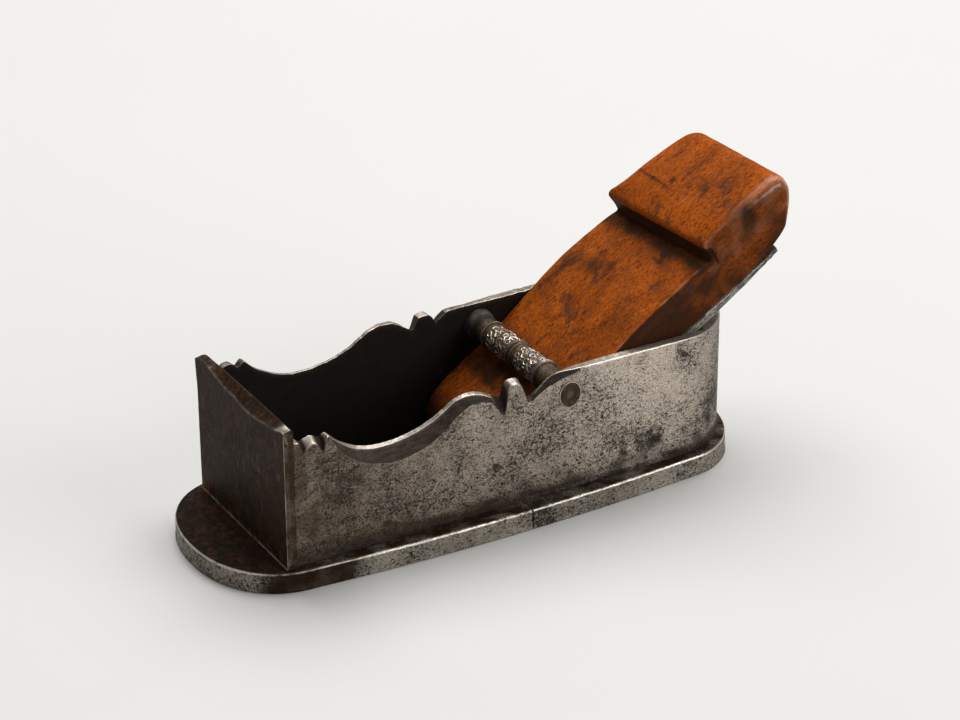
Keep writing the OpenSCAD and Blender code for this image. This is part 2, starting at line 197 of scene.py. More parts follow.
def evenly(points, step):
    """The same line with points at even steps along it."""
    points = np.asarray(points, float)
    run = np.r_[0, np.cumsum(np.linalg.norm(np.diff(points, axis=0), axis=1))]
    at = np.linspace(0, run[-1], max(2, int(round(run[-1] / step)) + 1))
    return np.column_stack([np.interp(at, run, column) for column in points.T])


def lofted(name, loops, material, sharp=38.0, **skins):
    """A closed mesh through loops of points in millimetres; skins are values at its points."""
    loops = np.asarray(loops, float)
    count, around = loops.shape[:2]
    faces = ring_faces(count, around) + [list(range((count - 1) * around, count * around))]
    a, b, c, d = (loops[:-1], np.roll(loops, -1, 1)[:-1], np.roll(loops, -1, 1)[1:], loops[1:])
    middle = loops.reshape(-1, 3).mean(0)
    if np.einsum("ijk,ijk->", (a + c) / 2 - middle, np.cross(c - a, d - b)) < 0:
        faces = [face[::-1] for face in faces]
    mesh = bpy.data.meshes.new(name)
    mesh.from_pydata((loops.reshape(-1, 3) * MM).tolist(), [], faces)
    mesh.materials.append(material)
    mesh.polygons.foreach_set("use_smooth", [True] * len(mesh.polygons))
    mesh.set_sharp_from_angle(angle=math.radians(sharp))
    for label, values in skins.items():
        layer = mesh.attributes.new(label, "FLOAT", "POINT")
        spread = np.broadcast_to(np.asarray(values, np.float32), loops.shape[:2])
        layer.data.foreach_set("value", np.clip(spread, 0, 1).ravel())
    return stood(name, mesh)


def weathered(piece, *waves, where):
    """Sinks a piece's surface by uneven amounts: each wave is a size, a depth and a seed."""
    mesh = piece.data
    points, normals = np.zeros((2, 3 * len(mesh.vertices)))
    mesh.vertices.foreach_get("co", points)
    mesh.vertex_normals.foreach_get("vector", normals)
    points, normals = points.reshape(-1, 3) / MM, normals.reshape(-1, 3)
    sunk = sum(depth * (0.5 + 0.5 * lumps(points, size, seed)) for size, depth, seed in waves)
    sunk = sunk * np.asarray(where, float).ravel()
    mesh.vertices.foreach_set("co", ((points - normals * sunk[:, None]) * MM).ravel())
    mesh.update()


def effect(name, takes, gives):
    """A node group with named inputs and outputs; only the output Colour is a colour."""
    tree = bpy.data.node_groups.new(name, "ShaderNodeTree")
    for label, value in takes.items():
        kind = "NodeSocketFloat" if isinstance(value, float) else "NodeSocketColor"
        tree.interface.new_socket(label, in_out="INPUT", socket_type=kind).default_value = value
    for label in gives:
        kind = "NodeSocketColor" if label == "Colour" else "NodeSocketFloat"
        tree.interface.new_socket(label, in_out="OUTPUT", socket_type=kind)
    return tree, tree.nodes.new("NodeGroupInput").outputs, tree.nodes.new("NodeGroupOutput").inputs


def millimetres(tree):
    made = place(tree, "VectorMath", operation="SCALE")
    feed(tree, made.inputs[0], place(tree, "TexCoord").outputs["Object"])
    made.inputs["Scale"].default_value = 1 / MM
    return made.outputs[0]


def stretched(tree, spot, shares):
    made = place(tree, "VectorMath", operation="MULTIPLY")
    feed(tree, made.inputs[0], spot)
    feed(tree, made.inputs[1], shares)
    return made.outputs[0]


def figure(operation):
    """One kind of sum for nodes to work out: it takes a tree and the sum's numbers."""
    def worked(tree, *sources, clamp=False):
        made = place(tree, "Math", operation=operation, use_clamp=clamp)
        for socket, source in zip(made.inputs, sources):
            feed(tree, socket, source)
        return made.outputs[0]
    return worked


plus, less, times, larger = map(figure, ("ADD", "SUBTRACT", "MULTIPLY", "MAXIMUM"))


def dyed(tree, colour, dye):
    return tint(tree, 1.0, colour, dye, "MULTIPLY")


rust, taken, given = effect(
    "Rust pits", {"Spot": (0.0, 0.0, 0.0, 1), "Amount": 0.5}, ("Mask", "Depth"))
spot = taken["Spot"]
patch = between(rust, mottle(rust, spot, 0.13, 4.0, 0.6), 0.36, 0.66, -0.03, 0.04)
reach = plus(rust, patch, times(rust, taken["Amount"], 0.12))
fleck, fine, coarse = (
    between(rust, plus(rust, mottle(rust, *look), reach), low, high)
    for look, low, high in (
        ((spot, 4.2, 2.0, 0.6, 0.4), 0.60, 0.66),
        ((stretched(rust, spot, (0.8, 1, 1.15)), 1.9, 3.0, 0.68, 0.9), 0.625, 0.665),
        ((spot, 0.9, 5.0, 0.72, 0.5), 0.69, 0.73)))
small = larger(rust, times(rust, fleck, 0.8), fine)
feed(rust, given["Mask"], larger(rust, small, coarse))
feed(rust, given["Depth"], plus(rust, times(rust, small, 0.5), coarse))

IRON_SKINS = ("Rubbed", "Tarnish", "Patina", "Rust", "Soot", "Pitting")
iron, taken, given = effect(
    "Old iron",
    {**dict.fromkeys(IRON_SKINS, 0.0), "Stroke": (1.0, 1.0, 1.0, 1),
     "Bare": (0.52, 0.45, 0.375, 1), "Brown": (0.05, 0.03, 0.018, 1)},
    ("Colour", "Metal", "Roughness", "Height"))
spot = millimetres(iron)
pits = place(iron, "Group", node_tree=rust)
feed(iron, pits.inputs["Spot"], spot)
feed(iron, pits.inputs["Amount"], taken["Pitting"])
cloud = mottle(iron, spot, 0.30, 5.0, 0.62)
grit = mottle(iron, spot, 5.0, 3.0, 0.7)
brush = mottle(iron, stretched(iron, spot, taken["Stroke"]), 1.0, 4.0, 0.7)
metal = tint(iron, between(iron, grit, 0.38, 0.66, 0.0, 0.6), taken["Bare"],
             dyed(iron, taken["Bare"], (0.35, 0.31, 0.28, 1)))
metal = tint(iron, between(iron, brush, 0.45, 0.75, 0.0, 0.5), metal,
             dyed(iron, taken["Bare"], (0.42, 0.38, 0.34, 1)))
# Darkens and dulls the bare metal for tarnish; pieces also use it for painted shade.
worn = plus(iron, taken["Tarnish"], between(iron, cloud, 0.3, 0.7, -0.09, 0.09))
metal = tint(iron, times(iron, worn, taken["Tarnish"], clamp=True), metal,
             dyed(iron, metal, (0.21, 0.178, 0.146, 1)))
# Lightens towards bright metal for rubbed wear; pieces also use it for painted glints.
metal = tint(iron, taken["Rubbed"], metal, (0.80, 0.74, 0.66, 1))
brown = tint(iron, between(iron, brush, 0.36, 0.70), taken["Brown"],
             dyed(iron, taken["Brown"], (2.6, 2.7, 2.8, 1)))
brown = tint(iron, between(iron, grit, 0.42, 0.72, 0.0, 0.6), brown,
             dyed(iron, taken["Brown"], (0.35, 0.35, 0.35, 1)))
rusty = plus(iron, mottle(iron, spot, 0.85, 5.0, 0.7, 0.5), times(iron, taken["Rust"], 0.16))
rusty = times(iron, between(iron, rusty, 0.60, 0.74), taken["Rust"])
brown = tint(iron, rusty, brown, (0.19, 0.062, 0.017, 1))
shown = plus(iron, taken["Patina"], between(iron, cloud, 0.3, 0.7, -0.14, 0.14))
keep = less(iron, 1.0, times(iron, taken["Rubbed"], 0.9))
shown = times(iron, between(iron, shown, 0.25, 0.80), keep)
hollow = times(iron, pits.outputs["Mask"], keep)
colour = tint(iron, shown, metal, brown)
colour = tint(iron, times(iron, hollow, 0.95), colour, (0.020, 0.014, 0.010, 1))
# Darkens towards near black for soot; pieces also use it for painted shade.
feed(iron, given["Colour"], tint(iron, taken["Soot"], colour, (0.0075, 0.0055, 0.0040, 1)))
dull = larger(iron, times(iron, shown, 0.6),
              larger(iron, times(iron, hollow, 0.9), taken["Soot"]))
scratched = larger(iron, dull, times(iron, taken["Rubbed"], 0.22))
feed(iron, given["Metal"], less(iron, 1.0, scratched, clamp=True))
rough = plus(iron, between(iron, grit, 0.3, 0.7, 0.36, 0.47), times(iron, dull, 0.26))
feed(iron, given["Roughness"], less(iron, rough, times(iron, taken["Rubbed"], 0.16)))
height = times(iron, times(iron, pits.outputs["Depth"], -1.0), keep)
height = plus(iron, height, times(iron, grit, 0.3))
feed(iron, given["Height"], plus(iron, height, times(iron, brush, 0.35)))


def finish(name, effect_tree, skins, bump, shine, **values):
    """A material from one of the effects; its skins are read at the piece's own points."""
    material, tree, shader = plain_material(name)
    laid = place(tree, "Group", node_tree=effect_tree)
    for label in skins:
        skin = place(tree, "Attribute", attribute_name=label.lower())
        feed(tree, laid.inputs[label], skin.outputs["Fac"])
    for label, value in values.items():
        laid.inputs[label].default_value = value
    feed(tree, shader.inputs["Base Color"], laid.outputs["Colour"])
    feed(tree, shader.inputs["Roughness"], laid.outputs["Roughness"])
    shader.inputs["Specular IOR Level"].default_value = shine
    bumps = place(tree, "Bump")
    bumps.inputs["Strength"].default_value = 1.0
    bumps.inputs["Distance"].default_value = bump * MM
    feed(tree, bumps.inputs["Height"], laid.outputs["Height"])
    feed(tree, shader.inputs["Normal"], bumps.outputs["Normal"])
    return material, tree, shader, laid


def iron_finish(name, bump=0.08, shine=0.35, **values):
    """Old iron; its wear and painted light come from the piece's points where no value is given.
    """
    skins = [label for label in IRON_SKINS if label not in values]
    material, tree, shader, laid = finish(name, iron, skins, bump, shine, **values)
    feed(tree, shader.inputs["Metallic"], laid.outputs["Metal"])
    return material


def sole_half(x):
    middle, reach = (TOE_ROUND + HEEL_ROUND) / 2, (HEEL_ROUND - TOE_ROUND) / 2
    return SOLE_MIDDLE_HALF - (SOLE_MIDDLE_HALF - SOLE_END_HALF) * ((x - middle) / reach) ** 2


def round_end(start, tip):
    """One quarter of a round end, from the near long edge to the tip."""
    return [(start + (tip - start) * math.sin(a) ** (2 / END_POWER),
             -SOLE_END_HALF * math.cos(a) ** (2 / END_POWER))
            for a in np.linspace(0, math.pi / 2, 64)]


# Rows round a sole plate from below to its top: how far in from its edge, and how high.
SOLE_ROWS = [(6.0, 0.0), (2.1, 0.0), (1.0, 0.0), (0.35, 0.0), (0.12, 0.04), (0.03, 0.16)]
SOLE_ROWS += [(0.0, z) for z in np.linspace(0.4, SOLE_THICK - 0.55, 9)]
SOLE_ROWS += [(set_in, SOLE_THICK - drop) for set_in, drop in (
    (0.01, 0.38), (0.05, 0.25), (0.13, 0.13), (0.24, 0.05), (0.38, 0.01), (0.55, 0), (0.9, 0),
    (1.5, 0), (2.1, 0), (3.6, 0), (6.0, 0), (9.0, 0))]


def sole_loops(outer, mouth_line, spans, away):
    """Loops round one plate: its outer edge, then the corners of its joint and mouth."""
    along = np.gradient(outer, axis=0)
    inward = np.stack([along[:, 1], -along[:, 0]], 1)
    inward[0], inward[-1] = (0, inward[0, 1]), (0, inward[-1, 1])
    inward /= np.linalg.norm(inward, axis=1)[:, None]
    near_mouth = rise(-np.abs(outer[:, 0]), -22, -12)
    loops = []
    for set_in, z in SOLE_ROWS:
        moved = set_in + (min(set_in, BESIDE_MOUTH) - set_in) * near_mouth
        line = outer + inward * moved[:, None]
        eased = away * min(set_in, 0.06)
        line[[0, -1], 0] += eased
        corners = [line[-1]] + [np.array([x + eased, y]) for x, y in mouth_line(z)] + [line[0]]
        joint = [a + (b - a) * k / n for a, b, n in zip(corners[:-1], corners[1:], spans)
                 for k in range(n)]
        path = np.vstack([line[:-1], joint])
        loops.append(np.column_stack([path, np.full(len(path), z)]))
    return np.array(loops)


def sole_skins(loops, seed):
    x, y, z = np.moveaxis(loops, -1, 0)
    set_in = np.repeat([row[0] for row in SOLE_ROWS], loops.shape[1]).reshape(z.shape)
    on_top = rise(set_in, 0.22, 0.42) * (z > SOLE_THICK - 0.3)
    rim = mark(set_in, 0.10, 0.16) * (z > SOLE_THICK - 0.45)
    broken = 0.85 + 0.5 * lumps(loops, 6.0, seed) + 0.35 * lumps(loops, 1.3, seed + 3)
    side = 1 - on_top
    dark_run = band(-x, 28, 33, 46, 50) * (y < 0)
    patch = mark(x, 6.2, 2.2) * (y < 0)
    toe_run = rise(-x, 40, 44)
    strip = on_top * (1 - toe_run)
    return {
        "rubbed": rim * np.clip(broken, 0.25, 1.0),
        "patina": on_top * toe_run + strip * (0.66 + 0.4 * lumps(loops, 4.0, seed + 5))
        + side * (0.12 + 0.55 * dark_run + 0.25 * lumps(loops, 9.0, seed + 1)),
        "tarnish": strip * 0.6 + side * np.clip(
            0.5 + 0.45 * dark_run + 0.4 * lumps(loops, 15.0, seed), 0, 1),
        "rust": on_top * (0.35 + 0.35 * toe_run) + 0.1,
        "soot": on_top * (0.70 * toe_run + 0.25 * (y > 0) * (1 - toe_run)),
        "pitting": side * (0.55 + 0.12 * toe_run + 0.6 * patch) + on_top * 0.5}


sole_finish = iron_finish("sole_iron", shine=0.04, Brown=(0.020, 0.0095, 0.0050, 1),
                          Stroke=(0.5, 1.4, 1.4, 1), Bare=(0.54, 0.50, 0.43, 1))


def sole_plate(name, loops, seed, free=True):
    """One plate of the sole; its edge is worn uneven where it stands free."""
    piece = lofted(name, loops, sole_finish, **sole_skins(loops, 3.0 + 2 * seed))
    on_edge = free & (loops[..., 2] > 0.3) & (loops[..., 2] < SOLE_THICK - 0.02)
    weathered(piece, (1.1, 0.13, 2.0 + seed), (0.5, 0.08, 6.0 + seed), (9.0, 0.10, 1.0 + seed),
              where=on_edge)
    return piece


near_front = [(x, -sole_half(x)) for x in np.linspace(SOLE_JOINT, TOE_ROUND, 110)[:-1]]
half_front = near_front + round_end(TOE_ROUND, -SOLE_LENGTH / 2)
front_outer = evenly(half_front + [(x, -y) for x, y in half_front[-2::-1]], OUTLINE_STEP)
loops = sole_loops(front_outer, lambda z: [
    (SOLE_JOINT, MOUTH_HALF), (MOUTH_FRONT, MOUTH_HALF), (MOUTH_FRONT, -MOUTH_HALF),
    (SOLE_JOINT, -MOUTH_HALF)], (10, 12, 52, 12, 10), -1)
sole_front = sole_plate("sole_front_plate", loops, 0.0)
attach(sole_front, "plane_body")
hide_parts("sole_front")

rear_joint = SOLE_JOINT + JOINT_GAP
near_rear = [(x, -sole_half(x)) for x in np.linspace(rear_joint, HEEL_ROUND, 100)[:-1]]
half_rear = near_rear + round_end(HEEL_ROUND, SOLE_LENGTH / 2)
rear_outer = evenly([(x, -y) for x, y in half_rear] + half_rear[-2::-1], OUTLINE_STEP)


def tongue(z):
    """The rear plate's corners at its joint, and where it runs on up to the mouth."""
    bed_x = EDGE_X + MOUTH_EASE + z / math.tan(BED)
    half = MOUTH_HALF - JOINT_GAP
    return [(rear_joint, -half), (bed_x, -half), (bed_x, half), (rear_joint, half)]


loops = sole_loops(rear_outer, tongue, (10, 6, 52, 6, 10), 1)
sole_rear = sole_plate(
    "sole_rear_plate", loops, 0.5,
    (loops[..., 0] > rear_joint + 1.5) | (np.abs(loops[..., 1]) > MOUTH_HALF))
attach(sole_rear, "plane_body")
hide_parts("sole_rear")


# The body: one strip of iron bent round the back, its top edge filed to a long hollow, a round
# crest and little fingers, with a sloping cut below the hollow. The insides of its rear bends
# are filed down to let the cutter by, and it is brazed down on the sole.

WALL, BODY_HALF, RIM_Z, FOOT_Z = 2.0, 17.55, 28.6, SOLE_THICK
INNER_HALF, FAR_RIM_Z = BODY_HALF - WALL, RIM_Z - 0.35
SHELL_FRONT, SHELL_BACK, BEND = -42.1, 53.2, 14.6
BEND_X, BEND_Y, BENDS_FROM, LET_BY = SHELL_BACK - BEND, BODY_HALF - BEND, 30, 0.08
HOLLOW_X, HOLLOW_Z, HOLLOW_FRONT, HOLLOW_BACK = -23.7, 23.6, 15.6, 23.2
CREST_X, CREST_Z, CREST, RIM_STEP, OUTER_DROP = -6.7, 21.6, 7.2, 0.27, 0.08
SHEET_WAVES = (1.3, 0.04, 5.0), (16.0, 0.08, 2.0), (0.45, 0.03, 3.0)


def rounded(corners, radii, spans, steps=4):
    """A closed line through corners, each rounded, with a set number of points on each side."""
    corners = [np.array(c, float) for c in corners]
    ends = []
    for i, corner in enumerate(corners):
        a, b = corners[i - 1] - corner, corners[(i + 1) % len(corners)] - corner
        la, lb = max(np.linalg.norm(a), 1e-6), max(np.linalg.norm(b), 1e-6)
        reach = min(radii[i], 0.45 * la, 0.45 * lb)
        ends.append((corner + a / la * reach, corner, corner + b / lb * reach))
    line = []
    for i, (start, corner, end) in enumerate(ends):
        for t in np.linspace(0, 1, steps + 1):
            line.append((1 - t) ** 2 * start + 2 * t * (1 - t) * corner + t * t * end)
        target = ends[(i + 1) % len(ends)][0]
        line += [end + (target - end) * k / spans[i] for k in range(1, spans[i])]
    return np.array(line)


def through(marks):
    """A smooth line through marks, each a row of numbers."""
    marks = np.array(marks, float)
    full = np.vstack([2 * marks[0] - marks[1], marks, 2 * marks[-1] - marks[-2]])
    line = []
    for k in range(1, len(full) - 2):
        p0, p1, p2, p3 = full[k - 1:k + 3]
        for t in np.linspace(0, 1, 9, endpoint=False):
            line.append(0.5 * (2 * p1 + (p2 - p0) * t + (2 * p0 - 5 * p1 + 4 * p2 - p3) * t * t
                               + (3 * p1 - p0 - 3 * p2 + p3) * t ** 3))
    return np.array(line + [marks[-1]])


def arc(x, z, radius, start, end):
    angles = np.radians(np.linspace(start, end, 40))
    return np.column_stack([x + radius * np.cos(angles), z + radius * np.sin(angles)])


def filed_edge(front_marks, rear_marks, worn, level_z):
    """The top edge of one side: its place, and its height at the outside and the inside."""
    hollow = np.vstack([
        arc(HOLLOW_X, HOLLOW_Z + HOLLOW_FRONT, HOLLOW_FRONT, 229, 270)[:-1],
        arc(HOLLOW_X, HOLLOW_Z + HOLLOW_BACK, HOLLOW_BACK, 270, 304)[:-1],
        arc(CREST_X, CREST_Z, CREST, 124, 52)])
    low = band(hollow[:, 0], -34, -29, -14, -9)
    hollow = np.column_stack([hollow, hollow[:, 1]])
    hollow[:, 1:] -= low[:, None] * worn
    level = np.array([(22.0, level_z, level_z), (BEND_X, level_z, level_z)])
    line = np.vstack([through(front_marks), hollow[2:], through(rear_marks), level])
    line[:, 0] = np.maximum.accumulate(line[:, 0] + np.arange(len(line)) * 1e-4)
    return evenly(line, RIM_STEP)


near_edge = filed_edge(
    [(-42.1, 29.2, 29.2), (-41.6, 28.95, 29.0), (-41.1, 28.85, 28.85), (-40.8, 28.4, 28.6),
     (-40.5, 27.5, 28.4), (-40.22, 26.5, 28.2), (-39.9, 26.9, 28.3), (-39.4, 27.4, 28.5),
     (-38.8, 27.85, 28.75), (-38.2, 28.05, 28.85), (-37.7, 27.9, 28.75), (-37.2, 27.3, 28.5),
     (-36.8, 26.5, 28.25), (-36.4, 25.8, 28.15), (-36.1, 26.6, 28.35), (-35.8, 27.9, 28.5),
     (-35.3, 28.65, 28.7), (-34.9, 28.4, 28.5), (-34.3, 27.75, 27.9)],
    [(-1.9, 26.6, 27.3), (-1.2, 25.3, 26.8), (-0.5, 23.9, 26.4), (0.1, 23.3, 26.3),
     (0.5, 24.5, 27.2), (0.65, 25.8, 28.0), (1.0, 27.6, 28.8), (1.5, 28.6, 29.2),
     (2.3, 28.9, 29.3), (3.2, 28.7, 29.2), (3.9, 27.9, 28.8), (4.4, 26.7, 27.8),
     (4.9, 25.3, 26.8), (5.3, 24.45, 25.8), (5.7, 24.7, 24.9), (6.1, 25.1, 24.5),
     (6.5, 25.55, 24.6), (6.9, 26.05, 24.9), (7.7, 26.8, 25.5), (8.57, 27.45, 26.1),
     (10.0, 28.28, 27.0), (11.7, 28.65, 27.8), (13.0, 28.7, 28.1), (14.9, 28.65, 28.4)],
    (0.45, 0.15), RIM_Z)
far_edge = filed_edge(
    [(-42.1, 29.0, 29.0), (-41.6, 29.2, 29.2), (-41.0, 28.9, 28.9), (-40.5, 28.2, 28.3),
     (-40.1, 27.9, 28.0), (-39.6, 28.2, 28.4), (-39.0, 28.6, 28.7), (-38.2, 28.7, 28.8),
     (-37.5, 28.4, 28.6), (-36.9, 27.8, 28.0), (-36.5, 27.6, 27.9), (-36.0, 28.2, 28.3),
     (-35.4, 28.7, 28.7), (-34.9, 28.4, 28.4), (-34.3, 27.75, 27.8)],
    [(-1.9, 26.7, 27.1), (-1.1, 25.8, 26.6), (-0.5, 25.4, 26.3), (0.0, 26.0, 26.6),
     (0.5, 27.3, 27.7), (0.9, 28.3, 28.3), (1.5, 28.5, 28.4), (2.2, 28.6, 28.4),
     (3.1, 28.3, 28.3), (4.0, 27.1, 27.6), (4.5, 25.8, 26.5), (5.0, 26.3, 26.9),
     (5.6, 27.0, 27.25), (6.3, 27.6, 27.65), (7.4, 28.2, 28.2), (9.0, 28.35, 28.3)],
    (0.0, 0.0), FAR_RIM_Z)

bend_angles = np.radians(np.linspace(0, 90, 56)[1:])
stations = [(x, -BODY_HALF, 0.0, -1.0, z_out, z_in) for x, z_out, z_in in near_edge]
stations += [(BEND_X + BEND * math.sin(a), -BEND_Y - BEND * math.cos(a), math.sin(a),
              -math.cos(a), RIM_Z, RIM_Z) for a in bend_angles]
stations += [(SHELL_BACK, y, 1.0, 0.0, RIM_Z - 0.1, RIM_Z - 0.1)
             for y in np.linspace(-BEND_Y, BEND_Y, 14)[1:-1]]
stations += [(BEND_X + BEND * math.sin(a), BEND_Y + BEND * math.cos(a), math.sin(a),
              math.cos(a), FAR_RIM_Z, FAR_RIM_Z) for a in bend_angles[::-1]]
stations += [(x, BODY_HALF, 0.0, 1.0, z_out, z_in) for x, z_out, z_in in far_edge[::-1]]
stations = np.array(stations)
x, y, out_x, out_y, z_out, z_in = stations.T[..., None].copy()
is_far = y > 0
places = stations[:, None, :3]
ragged = (0.06 + 0.12 * is_far) * lumps(places, 1.9, 7.0)
ragged += (0.04 + 0.06 * is_far) * lumps(places, 0.7, 2.0)
z_out += ragged - 0.25 * rise(x, 36, 46)
z_in += ragged
cuts = np.array([
    (-42.1, 0.3, 0.15), (-35.6, 0.25, 0.15), (-35.0, 0.3, 0.2), (-33.2, 1.5, 0.8),
    (-31.2, 2.1, 1.0), (-27.3, 2.7, 1.2), (-21.3, 3.5, 1.25), (-15.2, 3.5, 1.25),
    (-11.1, 3.1, 1.1), (-8.6, 2.6, 0.9), (-7.0, 2.0, 0.75), (-4.9, 1.7, 0.6), (-3.3, 1.4, 0.5),
    (-1.8, 1.0, 0.4), (-0.3, 0.3, 0.2), (4.9, 0.3, 0.2), (5.85, 0.6, 0.25), (7.35, 1.2, 0.5),
    (10.6, 1.85, 0.8), (14.8, 1.0, 0.4), (17.0, 0.3, 0.14)])
drop, depth = (np.interp(x, cuts[:, 0], cuts[:, k]) for k in (1, 2))
# Painted sheen on the land along the rim, weaker on the far wall.
shine = (0.55 - 0.40 * is_far) * np.interp(
    x, [-36, -34, -30, -22, -16, -10, -6, -3, 1, 2, 3.5, 5, 9, 13, 50],
    [0.3, 0.2, 0.6, 0.5, 0.25, 0.2, 0.5, 0.3, 0.1, 0.5, 0.4, 0.05, 0.1, 0.45, 0.3])
filed = sum(band(x, a - 0.25, a + 0.1, b - 0.1, b + 0.25)
            for a, b in ((-40.9, -39.7), (-37.2, -36.0), (-1.5, 0.8), (4.3, 6.6)))
sections = np.array([rounded(
    [(0, FOOT_Z), (0, outer - down), (into, outer - OUTER_DROP), (WALL, inner), (WALL, FOOT_Z)],
    [0.12, 0.35, 0.20, 0.24, 0.1], [54, 5, 6, 22, 2])
    for outer, inner, down, into in np.hstack([z_out, z_in, drop, depth])])
t, z = np.moveaxis(sections, -1, 0)
loops = np.stack([x - out_x * t, y - out_y * t, z], -1)
to_outer = np.hypot(t - depth, z - z_out + OUTER_DROP)
to_inner = np.hypot(t - WALL, z - z_in)
land = (t > depth - 0.1) & (z > np.minimum(z_out, z_in) - 0.25)
in_cut = (t > 0.03) & (t < depth - 0.04) & (z > z_out - drop) & (drop > 0.6)
inside = t > WALL - 0.04
in_land = land | in_cut | inside
outside = ~in_land
in_shade = 0.12 + 0.5 * band(x, 4.5, 6.5, 14, 17)
# Bright lines along the rim: partly rubbed metal, partly painted glints; the near wall's outer
# edge and the far wall's inner edge, turned to the camera, are brightest.
rubbed = np.maximum.reduce([
    (1.0 - 0.65 * is_far) * (1 - 0.6 * filed) * mark(to_outer, 0, 0.15),
    (0.3 + 0.7 * is_far) * (1 - 0.6 * filed * ~is_far) * mark(to_inner, 0, 0.13),
    land * shine * (1 - 0.9 * filed)])
patina = np.where(in_cut, 1.0, np.where(inside, 0.9, land * (0.45 + 0.5 * filed)))
# Painted shade: the inner face is painted near black below its top edge.
soot = np.where(inside, 0.97 * (1 - rise(z, z_in - 0.5, z_in)),
                np.where(in_cut, in_shade, 0.45 * land * filed))
tarnish = np.where(in_cut | land, 0.8, 0.0)
x, y = loops[..., 0], loops[..., 1]
bends = (x > BENDS_FROM) & (np.abs(y) < INNER_HALF - 0.05)
loops[..., 2] = np.where(bends, np.minimum(z, (x - EDGE_X) * math.tan(BED) - LET_BY), z)
z, near = loops[..., 2], y < 0
rubbed = rubbed * np.clip(1.05 + 0.6 * lumps(loops, 3.0, 1.0), 0.4, 1.1)
foot = 1 - rise(z, 4.4, 9.2 + 1.8 * lumps(loops, 16.0, 3.3))
foot *= 0.75 + 0.7 * lumps(loops * [0.22, 1, 1], 1.6, 8.0)
# Painted shade: the sides darken towards the toe and round the back bend, and are lightest just
# ahead of the bend.
age = np.interp(x, [-44, -38, -20, -5, 10, 25, 38, 46, 53],
                [1.0, 0.95, 0.82, 0.68, 0.56, 0.20, 0.22, 0.62, 0.92])
tarnish += outside * (age + 0.50 * foot + 0.07 * lumps(loops, 9.0, 9.0)
                      + 0.12 * lumps(loops, 2.5, 4.0))
soot += (soot > 0.5) * (0.08 * lumps(loops, 2.2, 6.0) + 0.05 * lumps(loops, 0.7, 2.0) - 0.02)
stain_spots = [(26.5, 9.5, 4.5, 2.4), (32.0, 10.0, 3.0, 2.0), (37.5, 25.2, 2.9, 2.5),
               (41.5, 9.0, 3.5, 2.0), (46.0, 13.0, 3.0, 6.0)]
stain = sum(mark(x, a, w) * mark(z, b, h) for a, b, w, h in stain_spots)
patina += outside * (0.65 * foot + 0.55 * near * stain * (0.7 + 1.1 * lumps(loops, 1.8, 5.0))
                     + 0.12 * np.clip(lumps(loops, 10.0, 9.0), 0, 1) + 0.10)
craters = mark(x, -2.2, 2.0) * mark(z, 12.2, 1.6) * near
pitting = outside * (0.55 + 0.5 * craters + 0.4 * near * np.clip(stain, 0, 1)
                     + 0.12 * rise(x, -5, 10) * rise(-z, -24, -17)
                     - 0.45 * band(x, 18, 26, 36, 40) * rise(z, 12, 19)
                     + 0.12 * rise(-x, 5, 25))
side_iron = iron_finish("side_iron", Brown=(0.034, 0.023, 0.017, 1), Stroke=(0.35, 1.6, 1.9, 1),
                        Bare=(0.66, 0.583, 0.495, 1), shine=0.2)
body_shell = lofted("body_wall", loops, side_iron, rubbed=rubbed, patina=patina, tarnish=tarnish,
                    soot=soot, pitting=pitting, rust=np.where(in_land & (soot > 0.3), 0.35, 0.08))
weathered(body_shell, *SHEET_WAVES, where=rise(x, SHELL_FRONT, -40.5))
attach(body_shell, "plane_body")
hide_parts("body_shell")


# The front plate: a flat iron plate brazed across the open end of the body. It stands a little
# above the sides, and its top edge is worn to an uneven slope towards the toe.

PLATE_FRONT, PLATE_BACK, PLATE_TOP = -44.1, SHELL_FRONT, 31.75
END_SHARES = (0.12, 0.4, 0.72, 0.998)


def closed_ends(loops, middle):
    """The same loops, with rows added across both flat ends in towards a middle line."""
    steps = np.array(END_SHARES)[:, None, None]
    first = loops[0] + (middle(loops[0]) - loops[0]) * steps[::-1]
    last = loops[-1] + (middle(loops[-1]) - loops[-1]) * steps
    return np.concatenate([first, loops, last])


def carried(*skins):
    """Values at the loops' points, carried over the rows that closed_ends adds."""
    rows = len(END_SHARES)
    return [np.pad(skin, ((rows, rows), (0, 0)), mode="edge") for skin in skins]


columns = np.r_[-17.55, -17.53, -17.47, -17.36, np.linspace(-17.2, 17.0, 128), 17.25, 17.43, 17.55]
y = columns[:, None]
set_in = np.interp(np.abs(y), [17.2, 17.36, 17.47, 17.53, 17.55], [0.0, 0.02, 0.07, 0.13, 0.20])
drop = np.interp(
    y, [-17.55, -16.3, -14.6, -13.6, -10.9, -8.1, -5.5, -3.5, 1.8, 6.8, 10.4, 13.5, 17.5],
    [0.30, 0.32, 0.75, 1.25, 1.6, 1.85, 2.35, 2.5, 1.8, 1.5, 1.0, 0.3, 0.2])
far_drop = 0.8 * rise(y, 15.4, 17.6) ** 2 + 0.15 * rise(y, 8, 17)
wave = np.array([[0.20 * noise.noise((at / 3.5, 3.0, 1.0))
                  + 0.16 * noise.noise((at / 1.1, 5.0, 1.0))] for at in columns])
top = PLATE_TOP - far_drop - 0.5 * set_in
front_top = top - drop + wave * np.minimum(1.0, drop)
sections = np.array([rounded(
    [(PLATE_FRONT - 0.22, FOOT_Z), (PLATE_FRONT + eased, FOOT_Z + 0.30),
     (PLATE_FRONT + eased, front), (PLATE_BACK - 0.35, high), (PLATE_BACK - 0.02, high - 0.35),
     (PLATE_BACK - 0.02, FOOT_Z)], [0.05, 0.2, 0.22, 0.3, 0.3, 0.1], [3, 62, 10, 3, 24, 3])
    for eased, front, high in np.hstack([set_in, front_top, top])])
x, z = np.moveaxis(sections, -1, 0)
